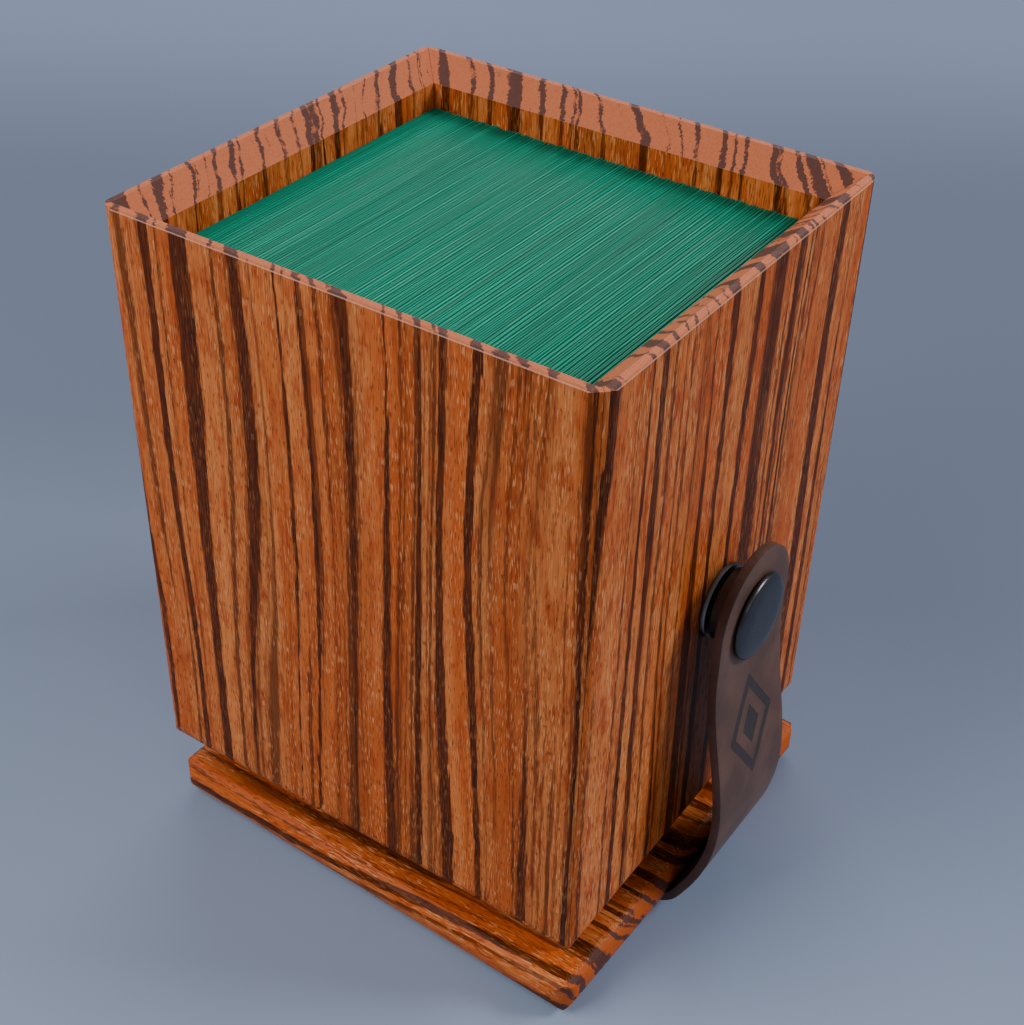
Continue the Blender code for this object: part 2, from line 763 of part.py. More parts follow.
def build():
    clear_scene()
    parts = add_collection(COLLECTION_NAME, hidden=False)
    cutters = add_collection(CUTTER_COLLECTION_NAME, hidden=True)
    screw_holes = screw_cutters(cutters)
    add_lid(parts, cutters, screw_holes)
    add_strap_anchor(parts, screw_holes)
    add_strap_screws(parts, cutters)
    add_walls(parts, cutters)
    add_floor(parts)
    add_cards(parts)
    add_stud(parts)
    add_socket(parts)
    add_cap(parts)
    add_strap_tab(parts, cutters)


build()
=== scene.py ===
"""Looks for the wooden card box: striped oiled wood, green sleeved cards, leather strap, snap."""
import math
import random

import bmesh
import bpy
from mathutils import Matrix, Vector


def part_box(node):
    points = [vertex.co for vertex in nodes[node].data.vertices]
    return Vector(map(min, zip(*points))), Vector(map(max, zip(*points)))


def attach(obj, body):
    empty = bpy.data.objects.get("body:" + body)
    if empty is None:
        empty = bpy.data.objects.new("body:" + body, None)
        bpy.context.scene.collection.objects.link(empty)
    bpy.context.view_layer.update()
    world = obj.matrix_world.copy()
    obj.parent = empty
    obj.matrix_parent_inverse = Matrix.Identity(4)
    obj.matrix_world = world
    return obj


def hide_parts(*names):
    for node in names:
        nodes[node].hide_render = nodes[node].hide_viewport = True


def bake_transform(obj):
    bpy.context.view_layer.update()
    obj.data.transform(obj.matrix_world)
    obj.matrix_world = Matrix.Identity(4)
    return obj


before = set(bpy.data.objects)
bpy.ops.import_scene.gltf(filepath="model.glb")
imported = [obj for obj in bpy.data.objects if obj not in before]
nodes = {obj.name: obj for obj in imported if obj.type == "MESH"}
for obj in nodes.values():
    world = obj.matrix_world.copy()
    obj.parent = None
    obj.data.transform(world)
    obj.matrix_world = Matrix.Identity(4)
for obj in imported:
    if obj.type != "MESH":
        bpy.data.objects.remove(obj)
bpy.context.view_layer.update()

MM = 0.001

# ---------------------------------------------------------------- places read from the frame
TAB_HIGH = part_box("strap_tab")[1]
ANCHOR_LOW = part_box("strap_anchor")[0]
CAP_LOW, CAP_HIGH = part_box("snap_cap")
SNAP_Z = (CAP_LOW.z + CAP_HIGH.z) / 2

# ---------------------------------------------------------------- strap, as in the CAD
STRAP_WIDTH = 22.0 * MM
STRAP_THICKNESS = 1.5 * MM
STRAP_LEVEL = ANCHOR_LOW.z + STRAP_THICKNESS / 2
STRAP_INNER_END_X = ANCHOR_LOW.x
FOLD_START_X = 41.5 * MM
FOLD_RADIUS = 6.75 * MM
FOLD_ANGLE = math.radians(60.0)
BOW_LOWER = 24.2 * MM
BOW_UPPER = 20.0 * MM
STRAIGHT_BELOW_SNAP = 5.6 * MM
STRAP_REST_X = 49.75 * MM
STRAP_TIP_Z = TAB_HIGH.z
STRAP_EDGE_ROUND = 0.40 * MM
STRAP_EDGE_ANGLE = math.radians(50)
SCREW_XS = (21.0 * MM, 32.0 * MM)
SCREW_HEAD_RADIUS = 3.45 * MM
SCREW_HOLE_DEPTH = 12 * MM

# ------------------------------------------------------- camera, fitted to the box's edges
CAMERA_PLACE = (129.637 * MM, -188.430 * MM, 229.669 * MM)
CAMERA_AZIMUTH = math.radians(33.735)
CAMERA_ELEVATION = math.radians(36.555)
CAMERA_ROLL = math.radians(1.605)
CAMERA_LENS = 58.04
SENSOR = 36.0
CLIP_NEAR, CLIP_FAR = 0.01, 20.0


# ================================================================ node helpers

class Nodes:
    """Short calls that add shader nodes to one material and link them."""

    def __init__(self, name):
        self.material = bpy.data.materials.new(name)
        self.material.use_nodes = True
        self.tree = self.material.node_tree
        self.tree.nodes.clear()
        self.out = self.tree.nodes.new("ShaderNodeOutputMaterial")
        self.shader = self.tree.nodes.new("ShaderNodeBsdfPrincipled")
        self.tree.links.new(self.shader.outputs[0], self.out.inputs[0])

    def put(self, socket, value):
        if isinstance(value, bpy.types.NodeSocket):
            self.tree.links.new(value, socket)
        elif value is not None:
            socket.default_value = value

    def math(self, operation, a, b=None, c=None, clamp=False):
        node = self.tree.nodes.new("ShaderNodeMath")
        node.operation = operation
        node.use_clamp = clamp
        for socket, value in zip(node.inputs, (a, b, c)):
            self.put(socket, value)
        return node.outputs[0]

    def position(self):
        return self.tree.nodes.new("ShaderNodeTexCoord").outputs["Object"]

    def normal(self):
        return self.tree.nodes.new("ShaderNodeTexCoord").outputs["Normal"]

    def split(self, vector):
        node = self.tree.nodes.new("ShaderNodeSeparateXYZ")
        self.put(node.inputs[0], vector)
        return node.outputs

    def join(self, x, y, z):
        node = self.tree.nodes.new("ShaderNodeCombineXYZ")
        for socket, value in zip(node.inputs, (x, y, z)):
            self.put(socket, value)
        return node.outputs[0]

    def noise(self, vector, scale=1.0, detail=2.0, roughness=0.5, distortion=0.0):
        node = self.tree.nodes.new("ShaderNodeTexNoise")
        self.put(node.inputs["Vector"], vector)
        self.put(node.inputs["Scale"], scale)
        self.put(node.inputs["Detail"], detail)
        self.put(node.inputs["Roughness"], roughness)
        self.put(node.inputs["Distortion"], distortion)
        return node.outputs["Fac"]

    def step(self, value, low, high):
        """0 below low, 1 above high, smooth between; swapped ends turn it round."""
        node = self.tree.nodes.new("ShaderNodeMapRange")
        node.interpolation_type = "SMOOTHSTEP"
        swapped = low > high
        self.put(node.inputs["Value"], value)
        self.put(node.inputs["From Min"], min(low, high))
        self.put(node.inputs["From Max"], max(low, high))
        self.put(node.inputs["To Min"], 1.0 if swapped else 0.0)
        self.put(node.inputs["To Max"], 0.0 if swapped else 1.0)
        return node.outputs[0]

    def mix(self, factor, a, b, blend="MIX"):
        node = self.tree.nodes.new("ShaderNodeMix")
        node.data_type = "RGBA"
        node.blend_type = blend
        self.put(node.inputs[0], factor)
        self.put(node.inputs[6], a)
        self.put(node.inputs[7], b)
        return node.outputs[2]

    def bump(self, height, distance, strength=1.0, below=None):
        node = self.tree.nodes.new("ShaderNodeBump")
        self.put(node.inputs["Height"], height)
        self.put(node.inputs["Distance"], distance)
        self.put(node.inputs["Strength"], strength)
        self.put(node.inputs["Normal"], below)
        return node.outputs[0]


def srgb(red, green, blue):
    """Colour from 0 to 255 display values."""
    linear = []
    for value in (red, green, blue):
        v = value / 255
        linear.append(v / 12.92 if v <= 0.04045 else ((v + 0.055) / 1.055) ** 2.4)
    return (*linear, 1.0)


# ================================================================ wood

WOOD_DARK = srgb(66, 24, 0)
WOOD_DARK_WARM = srgb(112, 48, 6)
WOOD_MID = srgb(198, 92, 30)
WOOD_LIGHT = srgb(222, 127, 62)
WOOD_RED = srgb(180, 74, 24)
# pale flecks: partly the wood's own, partly painted glints of the oiled finish
WOOD_FLECK_AND_GLINT = srgb(244, 168, 108)
WOOD_END = srgb(208, 116, 76)
# dark of the end grain: its own dark tone, greyed partly as a painted sheen
WOOD_END_DARK_AND_SHEEN = srgb(74, 54, 54)
# pale colour of the rim's outer slope: partly wear, partly a painted highlight
WOOD_WORN_AND_HIGHLIGHT = srgb(250, 200, 178)

# noise scales per millimetre along a board's width, thickness and fibres
WANDER_SCALE = (0.03, 0.03, 0.009)
CURL_SCALE = (0.10, 0.22, 0.004)
RAGGED_SCALE = (2.2, 2.2, 0.14)
CLOUD_SCALE = (0.55, 0.55, 0.13)
FIBRE_SCALE = (4.2, 4.2, 0.13)
PORE_SCALE = (4.6, 4.6, 0.62)
FLECK_AND_GLINT_SCALE = (4.6, 4.6, 0.52)
FLECK_AND_GLINT_PATCH_SCALE = (0.35, 0.35, 0.05)

# how far, in millimetres, each of the first three moves the stripes sideways
WANDER_REACH, CURL_REACH, RAGGED_REACH = 10.0, 4.5, 1.35
STRIPE_SLANT = 0.8          # sideways shift of a stripe per millimetre of thickness
BOLD_PERIOD, SECOND_PERIOD, HAIR_PERIOD = 6.0, 3.3, 1.15    # mm between dark lines
LINE_SOFTNESS, GLOW_SOFTNESS = 0.28, 1.1                    # mm over which a line fades

WOOD_SPECULAR = 0.13
WOOD_ROUGHNESS, WOOD_ROUGHNESS_SPREAD = 0.34, 0.20
WOOD_BUMP, WOOD_BUMP_STRENGTH = 0.10 * MM, 0.6
WORN_EDGE_AND_HIGHLIGHT = 0.45            # how pale the rim's outer slope is painted: partly wear, partly a painted highlight
END_BLOT = 0.92             # how dark the stripes are where the wood is cut across
PORE_DARKNESS = 0.6

WOOD_BEVEL = 0.22 * MM
SHARP_ANGLE = math.radians(35)
WELD_REACH = 0.001 * MM


def wood_material(name, across, through, grain, seed, fine, heavy):
    """Striped hardwood as a solid texture, in millimetres.

    across, through and grain are the axes (0, 1, 2) along the board's width, thickness
    and fibres; seed shifts the figure so that each board is its own, fine sets how much
    the thinnest lines show and heavy how wide the boldest ones grow.
    """
    n = Nodes(name)
    mm = [n.math("MULTIPLY", axis, 1000.0) for axis in n.split(n.position())]
    u = n.math("ADD", mm[across], seed * 37.0)
    v = mm[through]
    w = n.math("ADD", mm[grain], seed * 91.0)

    def field(scale, detail, roughness=0.5, shift=0.0):
        vector = n.join(
            n.math("MULTIPLY_ADD", u, scale[0], shift),
            n.math("MULTIPLY", v, scale[1]),
            n.math("MULTIPLY", w, scale[2]),
        )
        return n.noise(vector, 1.0, detail, roughness)

    def centred(value, reach):
        return n.math("MULTIPLY", n.math("SUBTRACT", value, 0.5), reach)

    # slow wander of the stripes, curl through the thickness, ragged edges
    wander = centred(field(WANDER_SCALE, 1.0), WANDER_REACH)
    curl = centred(field(CURL_SCALE, 1.0, 0.5, 7.0), CURL_REACH)
    ragged = centred(field(RAGGED_SCALE, 2.0, 0.6, 3.0), RAGGED_REACH)
    s = n.math("MULTIPLY_ADD", v, STRIPE_SLANT, u)
    for part in (wander, curl, ragged):
        s = n.math("ADD", s, part)

    def along(frequency, hold, shift, detail=1.0, roughness=0.5):
        """Noise that follows the stripes: frequency across them, hold along the fibres."""
        across_stripes = n.math("MULTIPLY_ADD", s, frequency, shift)
        vector = n.join(across_stripes, 0.0, n.math("MULTIPLY", w, hold))
        return n.noise(vector, 1.0, detail, roughness)

    def lines(period, drift, shift, narrow, wide, weight):
        """Dark lines about a period apart, and the wider glow of shade round each one.

        weight (a field) sets how wide each line is, between narrow and wide.
        """
        drifted = along(0.42 / period, 0.001, shift)
        phase = n.math("MULTIPLY_ADD", drifted, drift, n.math("DIVIDE", s, period))
        near = n.math("MULTIPLY", n.math("PINGPONG", phase, 0.5), 2.0)
        width = n.math("MULTIPLY_ADD", n.step(weight, 0.34, 0.66), wide - narrow, narrow)
        soft = LINE_SOFTNESS / period
        over = n.math("SUBTRACT", width, near)
        return n.step(over, -soft, soft), n.step(over, -GLOW_SOFTNESS / period, soft)

    main, glow = lines(BOLD_PERIOD, 3.2, 11.0, 0.00, heavy, along(0.19, 0.005, 31.0))
    second, second_glow = lines(
        SECOND_PERIOD, 2.4, 47.0, -0.20, 0.32, along(0.33, 0.007, 59.0)
    )
    hair = lines(HAIR_PERIOD, 1.6, 83.0, -0.30, 0.45, along(0.8, 0.012, 97.0))[0]
    zone = n.step(along(0.11, 0.002, 71.0), 0.46, 0.60)
    hair = n.math("MULTIPLY", hair, n.math("MULTIPLY_ADD", zone, 0.42 * fine, 0.20 * fine))
    bold = n.math("MAXIMUM", main, n.math("MULTIPLY", second, 0.75))
    dark = n.math("MAXIMUM", bold, hair)

    # ground colour: slow bands, cloudy mottling and fibre streaks
    tone = n.step(along(0.16, 0.004, 5.0, 2.0, 0.6), 0.34, 0.66)
    cloud = field(CLOUD_SCALE, 3.0, 0.62, 9.0)
    fibre = field(FIBRE_SCALE, 3.0, 0.65, 17.0)
    ground = n.mix(tone, WOOD_MID, WOOD_LIGHT)
    ground = n.mix(n.step(cloud, 0.42, 0.72), ground, WOOD_RED)
    shade = n.math("MULTIPLY_ADD", zone, -0.22, n.math("MULTIPLY_ADD", fibre, 1.1, 0.56))
    shade = n.math("MULTIPLY_ADD", n.math("MAXIMUM", glow, second_glow), -0.26, shade)
    ground = n.mix(0.8, ground, n.join(shade, shade, shade), "MULTIPLY")
    warmth = n.step(n.math("ADD", fibre, centred(cloud, 0.5)), 0.36, 0.66)
    night = n.mix(warmth, WOOD_DARK, WOOD_DARK_WARM)
    colour = n.mix(dark, ground, night)

    # open pores: short dark dashes along the fibres, and pale flecks beside them, partly the
    # wood's own and partly painted glints of its oiled finish
    pore = n.step(field(PORE_SCALE, 0.0, 0.5, 29.0), 0.64, 0.71)
    # pale flecks, partly the wood's own and partly painted glints
    fleck_and_glint = n.step(field(FLECK_AND_GLINT_SCALE, 0.0, 0.5, 61.0), 0.59, 0.68)
    patch = n.step(field(FLECK_AND_GLINT_PATCH_SCALE, 2.0, 0.5, 67.0), 0.36, 0.56)
    fleck_and_glint = n.math("MULTIPLY", fleck_and_glint, patch)
    colour = n.mix(n.math("MULTIPLY", pore, PORE_DARKNESS), colour, WOOD_DARK_WARM)
    light = n.math("MULTIPLY_ADD", dark, -0.42, 0.58)
    colour = n.mix(n.math("MULTIPLY", fleck_and_glint, light), colour, WOOD_FLECK_AND_GLINT)

    # cut across the fibres the wood is paler and speckled; the rim is such a cut
    facing = n.split(n.normal())[grain]
    end = n.step(n.math("ABSOLUTE", facing), 0.35, 0.75)
    speck = n.noise(n.join(u, v, w), 3.2, 2.0, 0.6)
    end_colour = WOOD_END if grain == 2 else WOOD_MID
    pale = n.mix(n.math("MULTIPLY", n.step(speck, 0.50, 0.75), 0.45), end_colour, WOOD_RED)
    # the end grain's dark blots: a dark tone of its own, greyed partly as a painted sheen of
    # reflected room light
    night_end = n.mix(n.step(speck, 0.5, 0.72), WOOD_END_DARK_AND_SHEEN, WOOD_DARK_WARM)
    spread = n.math("MAXIMUM", glow, n.math("MULTIPLY", second_glow, 0.8))
    blot = n.step(n.math("ADD", spread, centred(cloud, 1.8)), 0.44, 0.80)
    pale = n.mix(n.math("MULTIPLY", blot, END_BLOT), pale, night_end)
    colour = n.mix(end, colour, pale)
    if grain == 2:
        # the slope between rim and wall face is painted paler: partly wear, partly a painted
        # highlight of the edge
        worn_and_highlight = n.math("MULTIPLY", n.step(facing, 0.20, 0.34), n.step(facing, 0.70, 0.60))
        colour = n.mix(n.math("MULTIPLY", worn_and_highlight, WORN_EDGE_AND_HIGHLIGHT), colour, WOOD_WORN_AND_HIGHLIGHT)

    n.put(n.shader.inputs["Base Color"], colour)
    rough = n.math("MULTIPLY_ADD", fibre, WOOD_ROUGHNESS_SPREAD, WOOD_ROUGHNESS)
    n.put(n.shader.inputs["Roughness"], rough)
    n.shader.inputs["Specular IOR Level"].default_value = WOOD_SPECULAR
    relief = n.math("SUBTRACT", n.math("MULTIPLY", fibre, 0.5), pore)
    relief = n.math("MULTIPLY_ADD", fleck_and_glint, 0.35, relief)
    n.put(n.shader.inputs["Normal"], n.bump(relief, WOOD_BUMP, WOOD_BUMP_STRENGTH))
    return n.material


def dress(node_name, material, bevel=WOOD_BEVEL):
    """A carried-over CAD node: own material, soft edges, smooth curved faces.

    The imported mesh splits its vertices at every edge, so they are joined before the bevel.
    """
    obj = nodes[node_name]
    weld = obj.modifiers.new("weld", "WELD")
    weld.merge_threshold = WELD_REACH
    obj.data.materials.clear()
    obj.data.materials.append(material)
    soft = obj.modifiers.new("soft_edges", "BEVEL")
    soft.width = bevel
    soft.segments = 2
    soft.limit_method = "ANGLE"
    soft.angle_limit = SHARP_ANGLE
    soft.harden_normals = False
    for polygon in obj.data.polygons:
        polygon.use_smooth = True
    normals = obj.modifiers.new("even_normals", "WEIGHTED_NORMAL")
    normals.keep_sharp = True


def dress_wood():
    boards = {      # across, through, grain, seed, fine, heavy
        "front_wall": (0, 1, 2, 1.0, 1.0, 0.34),
        "back_wall": (0, 1, 2, 2.3, 1.0, 0.34),
        "strap_side_wall": (1, 0, 2, 4.6, 0.60, 0.52),
        "plain_side_wall": (1, 0, 2, 5.1, 1.0, 0.34),
        "floor_board": (1, 2, 0, 6.4, 1.0, 0.34),
        "lid": (1, 2, 0, 9.41, 0.8, 0.48),
    }
    for name, figure in boards.items():
        dress(name, wood_material("wood_" + name, *figure))


# ================================================================ metal

METAL_GRAIN_SCALE, SMUDGE_SCALE = 9000.0, 260.0     # per metre
SMUDGE_LIFT = 1.25
SMUDGE_ROUGHNESS = 0.16
METAL_BUMP = 0.01 * MM
# display tone and roughness
GUNMETAL = {"snap_cap": (78, 0.22), "snap_socket": (78, 0.30), "snap_stud": (120, 0.26)}
GUNMETAL_BUMP_STRENGTH, GUNMETAL_BEVEL = 0.25, 0.05 * MM
STEEL, STEEL_ROUGHNESS = srgb(190, 186, 176), 0.3
STEEL_BUMP_STRENGTH, STEEL_BEVEL = 0.3, 0.06 * MM


def metal_material(name, colour, roughness, speckle):
    n = Nodes(name)
    place = n.position()
    grain = n.noise(place, METAL_GRAIN_SCALE, 3.0, 0.6)
    smudge = n.noise(place, SMUDGE_SCALE, 3.0, 0.55)
    lighter = tuple(min(1.0, c * SMUDGE_LIFT) for c in colour[:3]) + (1.0,)
    tint = n.mix(n.step(smudge, 0.35, 0.7), colour, lighter)
    rough = n.math("MULTIPLY_ADD", smudge, SMUDGE_ROUGHNESS, roughness)
    n.put(n.shader.inputs["Base Color"], tint)
    n.shader.inputs["Metallic"].default_value = 1.0
    n.put(n.shader.inputs["Roughness"], rough)
    n.put(n.shader.inputs["Normal"], n.bump(grain, METAL_BUMP, speckle))
    return n.material


def dress_metal():
    for name, (tone, roughness) in GUNMETAL.items():
        colour = srgb(tone, tone - 2, tone - 1)
        metal = metal_material("metal_" + name, colour, roughness, GUNMETAL_BUMP_STRENGTH)
        dress(name, metal, GUNMETAL_BEVEL)
    for name in ("strap_screw_1", "strap_screw_2"):
        metal = metal_material("metal_" + name, STEEL, STEEL_ROUGHNESS, STEEL_BUMP_STRENGTH)
        dress(name, metal, STEEL_BEVEL)


# ================================================================ cards

PACKET_COUNT = 10
SLEEVE_COUNT = 10           # in each packet
SLEEVE_SEED = 20
FILM = 0.13 * MM
SLEEVE_DEPTH = 2.0 * MM     # of the open slot in a sleeve's top
MOUTH_DEPTH = 2.5 * SLEEVE_DEPTH    # the film leans and sways above this depth
END_GAP = 0.25 * MM         # a sleeve is this much shorter than its packet at each end
LENGTH_STEPS = 10

# how much one sleeve differs from the next: share of the pitch it fills, then millimetres
SLEEVE_FILL = (0.92, 0.99)
SLEEVE_DROP, SLEEVE_LEAN, SLEEVE_SHIFT, SLEEVE_SWAY = 0.16, 0.10, 0.20, 0.05
SLEEVE_PINCH = (0.05, 0.45)     # share of the mouth's width pinched shut

SLEEVE_DARK = srgb(0, 120, 92)
SLEEVE_LIGHT = srgb(0, 164, 130)
SLEEVE_DUST = srgb(150, 200, 185)
SLEEVE_SPECULAR = 0.16
SLEEVE_ROUGHNESS, SLEEVE_ROUGHNESS_SPREAD = 0.24, 0.2
SLEEVE_BUMP, SLEEVE_BUMP_STRENGTH = 0.03 * MM, 0.5
FLAT_FACE_TONE = 0.52


def sleeve_material(name):
    """Green film whose tone changes from sleeve to sleeve and is even on the big faces."""
    n = Nodes(name)
    place = n.position()
    x, y, z = n.split(place)
    along = n.join(
        n.math("MULTIPLY", x, 1500.0), n.math("MULTIPLY", y, 30.0), n.math("MULTIPLY", z, 30.0)
    )
    flat = n.step(n.math("ABSOLUTE", n.split(n.normal())[0]), 0.8, 0.98)
    tone = n.noise(along, 1.0, 2.0, 0.5)
    tone = n.math("MULTIPLY_ADD", n.math("SUBTRACT", FLAT_FACE_TONE, tone), flat, tone)
    dust = n.step(n.noise(place, 2400.0, 1.0, 0.5), 0.72, 0.80)
    colour = n.mix(n.step(tone, 0.3, 0.7), SLEEVE_DARK, SLEEVE_LIGHT)
    colour = n.mix(n.math("MULTIPLY", dust, 0.4), colour, SLEEVE_DUST)
    rough = n.math("MULTIPLY_ADD", tone, SLEEVE_ROUGHNESS_SPREAD, SLEEVE_ROUGHNESS)
    relief = n.noise(along, 2.0, 3.0, 0.6)
    n.put(n.shader.inputs["Base Color"], colour)
    n.put(n.shader.inputs["Roughness"], rough)
    n.shader.inputs["Specular IOR Level"].default_value = SLEEVE_SPECULAR
    n.put(n.shader.inputs["Normal"], n.bump(relief, SLEEVE_BUMP, SLEEVE_BUMP_STRENGTH))
    return n.material


def add_sleeve(work, x0, pitch, low, high, chance):
    """One open-topped sleeve: two films with the card's slot between them."""
    thick = pitch * chance.uniform(*SLEEVE_FILL)
    drop = chance.uniform(0.0, SLEEVE_DROP) * MM
    lean = chance.uniform(-SLEEVE_LEAN, SLEEVE_LEAN) * MM
    shift = chance.uniform(-SLEEVE_SHIFT, SLEEVE_SHIFT) * MM
    top = high.z - drop
    half = (high.y - low.y) / 2 - END_GAP
    sway = [chance.uniform(-SLEEVE_SWAY, SLEEVE_SWAY) * MM for _ in range(LENGTH_STEPS + 1)]
    pinch = [chance.uniform(*SLEEVE_PINCH) for _ in range(LENGTH_STEPS + 1)]
    rings = []
    for step in range(LENGTH_STEPS + 1):
        y = (low.y + high.y) / 2 + shift + half * (2 * step / LENGTH_STEPS - 1)
        slot = (thick - 2 * FILM) * (1 - pinch[step])
        middle = x0 + thick / 2
        top_x = middle + lean + sway[step]
        outer = slot / 2 + FILM
        profile = [
            (middle - thick / 2, low.z),
            (middle + thick / 2, low.z),
            (middle + thick / 2, top - MOUTH_DEPTH),
            (top_x + outer, top),
            (top_x + slot / 2, top),
            (middle + slot / 2, top - SLEEVE_DEPTH),
            (middle - slot / 2, top - SLEEVE_DEPTH),
            (top_x - slot / 2, top),
            (top_x - outer, top),
            (middle - thick / 2, top - MOUTH_DEPTH),
        ]
        rings.append([work.verts.new((x, y, z)) for x, z in profile])
    count = len(rings[0])
    for a, b in zip(rings[:-1], rings[1:]):
        for i in range(count):
            j = (i + 1) % count
            work.faces.new((a[i], b[i], b[j], a[j]))
    work.faces.new(rings[0])
    work.faces.new(rings[-1][::-1])


def add_cards():
    chance = random.Random(SLEEVE_SEED)
    for packet in range(PACKET_COUNT):
        node = "card_packet_%02d" % (packet + 1)
        low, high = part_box(node)
        pitch = (high.x - low.x) / SLEEVE_COUNT
        work = bmesh.new()
        for card in range(SLEEVE_COUNT):
            add_sleeve(work, low.x + pitch * card, pitch, low, high, chance)
        bmesh.ops.recalc_face_normals(work, faces=work.faces)
        mesh = bpy.data.meshes.new("sleeves_%02d" % (packet + 1))
        work.to_mesh(mesh)
        work.free()
        mesh.materials.append(sleeve_material("sleeve_film_%02d" % (packet + 1)))
        piece = bpy.data.objects.new(mesh.name, mesh)
        bpy.context.scene.collection.objects.link(piece)
        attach(piece, "deck")
        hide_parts(node)


# ================================================================ leather

LEATHER_FACE = (srgb(108, 76, 62), srgb(84, 57, 46))    # light and dark of its mottling
# the strap's back: darker leather, partly its own colour and partly painted shade for the gap
# between strap and wall
LEATHER_BACK_AND_SHADE = (srgb(46, 32, 27), srgb(34, 23, 19))
LEATHER_RIM = (srgb(98, 70, 59), srgb(70, 49, 42))
LEATHER_SPECULAR = 0.32
LEATHER_SHEEN, LEATHER_SHEEN_ROUGHNESS = 0.05, 0.4
LEATHER_ROUGHNESS, RIM_ROUGHNESS, ROUGHNESS_SPREAD = 0.46, 0.30, 0.15
LEATHER_BUMP, LEATHER_BUMP_STRENGTH = 0.14 * MM, 0.7
PEBBLE_SCALE, MOTTLE_SCALE, CREASE_SCALE = 1500.0, 95.0, 420.0      # per metre

# the printed lozenge: height of its middle, then half its width and height in millimetres
MARK_Z = 39.6 * MM
MARK_WIDTH = 7.2
MARK_HEIGHT = 10.5
MARK_INK = srgb(46, 41, 42)
MARK_OPACITY, MARK_SINK = 0.85, -1.2


def leather_material(name, base, dark, smoothest=LEATHER_ROUGHNESS, mark=False):
    n = Nodes(name)
    place = n.position()
    _, y, z = n.split(place)
    pebble = n.noise(place, PEBBLE_SCALE, 3.0, 0.6)
    cloud = n.noise(place, MOTTLE_SCALE, 4.0, 0.6)
    crease = n.noise(place, CREASE_SCALE, 2.0, 0.5, 1.2)
    colour = n.mix(n.step(cloud, 0.32, 0.68), dark, base)
    colour = n.mix(n.math("MULTIPLY", n.step(pebble, 0.55, 0.75), 0.25), colour, dark)
    height = n.math("ADD", n.math("MULTIPLY", pebble, 0.5), n.math("MULTIPLY", crease, 0.5))
    rough = n.math("MULTIPLY_ADD", cloud, ROUGHNESS_SPREAD, smoothest)
    if mark:
        across = n.math("DIVIDE", n.math("ABSOLUTE", n.math("MULTIPLY", y, 1000.0)), MARK_WIDTH)
        rise = n.math("MULTIPLY", n.math("SUBTRACT", z, MARK_Z), 1000.0)
        upright = n.math("DIVIDE", n.math("ABSOLUTE", rise), MARK_HEIGHT)
        reach = n.math("ADD", n.math("ADD", across, upright), n.math("MULTIPLY", cloud, 0.08))
        ring = n.math("MULTIPLY", n.step(reach, 0.74, 0.78), n.step(reach, 1.04, 1.0))
        core = n.step(reach, 0.44, 0.40)
        print_mask = n.math("MAXIMUM", ring, core)
        colour = n.mix(n.math("MULTIPLY", print_mask, MARK_OPACITY), colour, MARK_INK)
        height = n.math("MULTIPLY_ADD", print_mask, MARK_SINK, height)
    n.put(n.shader.inputs["Base Color"], colour)
    n.put(n.shader.inputs["Roughness"], rough)
    n.shader.inputs["Specular IOR Level"].default_value = LEATHER_SPECULAR
    n.shader.inputs["Sheen Weight"].default_value = LEATHER_SHEEN
    n.shader.inputs["Sheen Roughness"].default_value = LEATHER_SHEEN_ROUGHNESS
    n.put(n.shader.inputs["Normal"], n.bump(height, LEATHER_BUMP, LEATHER_BUMP_STRENGTH))
    return n.material


def strap_path():
    """Middle line in the XZ plane: flat in the lid, round the fold, bowed up to the snap."""
    centre = Vector((FOLD_START_X, STRAP_LEVEL + FOLD_RADIUS))
    points = [Vector((STRAP_INNER_END_X, STRAP_LEVEL))]
    flat_steps = 24
    for step in range(1, flat_steps):
        x = STRAP_INNER_END_X + (FOLD_START_X - STRAP_INNER_END_X) * step / flat_steps
        points.append(Vector((x, STRAP_LEVEL)))
    fold_steps = 14
    for step in range(fold_steps + 1):
        angle = FOLD_ANGLE * step / fold_steps
        points.append(centre + FOLD_RADIUS * Vector((math.sin(angle), -math.cos(angle))))
    first = points[-1]
    last = Vector((STRAP_REST_X, SNAP_Z - STRAIGHT_BELOW_SNAP))
    low = first + BOW_LOWER * Vector((math.cos(FOLD_ANGLE), math.sin(FOLD_ANGLE)))
    high = last - Vector((0.0, BOW_UPPER))
    bow_steps = 60
    for step in range(1, bow_steps + 1):
        t = step / bow_steps
        s = 1 - t
        points.append(first * s**3 + low * (3 * s * s * t) + high * (3 * s * t * t) + last * t**3)
    return points


def strap_mesh():
    """The strap's middle surface, from its hidden end to the round tip; SOLIDIFY thickens it."""
    radius = STRAP_WIDTH / 2
    stations = [(point, radius) for point in strap_path()]
    shoulder = STRAP_TIP_Z - radius
    straight_steps = 6
    start = stations[-1][0].y
    for step in range(1, straight_steps + 1):
        z = start + (shoulder - start) * step / straight_steps
        stations.append((Vector((STRAP_REST_X, z)), radius))
    tip_steps = 26
    for step in range(1, tip_steps):
        angle = math.pi / 2 * step / tip_steps
        place = Vector((STRAP_REST_X, shoulder + radius * math.sin(angle)))
        stations.append((place, radius * math.cos(angle)))
    cross_steps = 14
    work = bmesh.new()
    rows = []
    for place, half in stations:
        row = []
        for step in range(cross_steps + 1):
            share = 2 * step / cross_steps - 1
            row.append(work.verts.new((place.x, half * share, place.y)))
        rows.append(row)
    for a, b in zip(rows[:-1], rows[1:]):
        for i in range(cross_steps):
            work.faces.new((a[i], a[i + 1], b[i + 1], b[i]))
    bmesh.ops.recalc_face_normals(work, faces=work.faces)
    mesh = bpy.data.meshes.new("leather_strap")
    work.to_mesh(mesh)
    work.free()
    return mesh


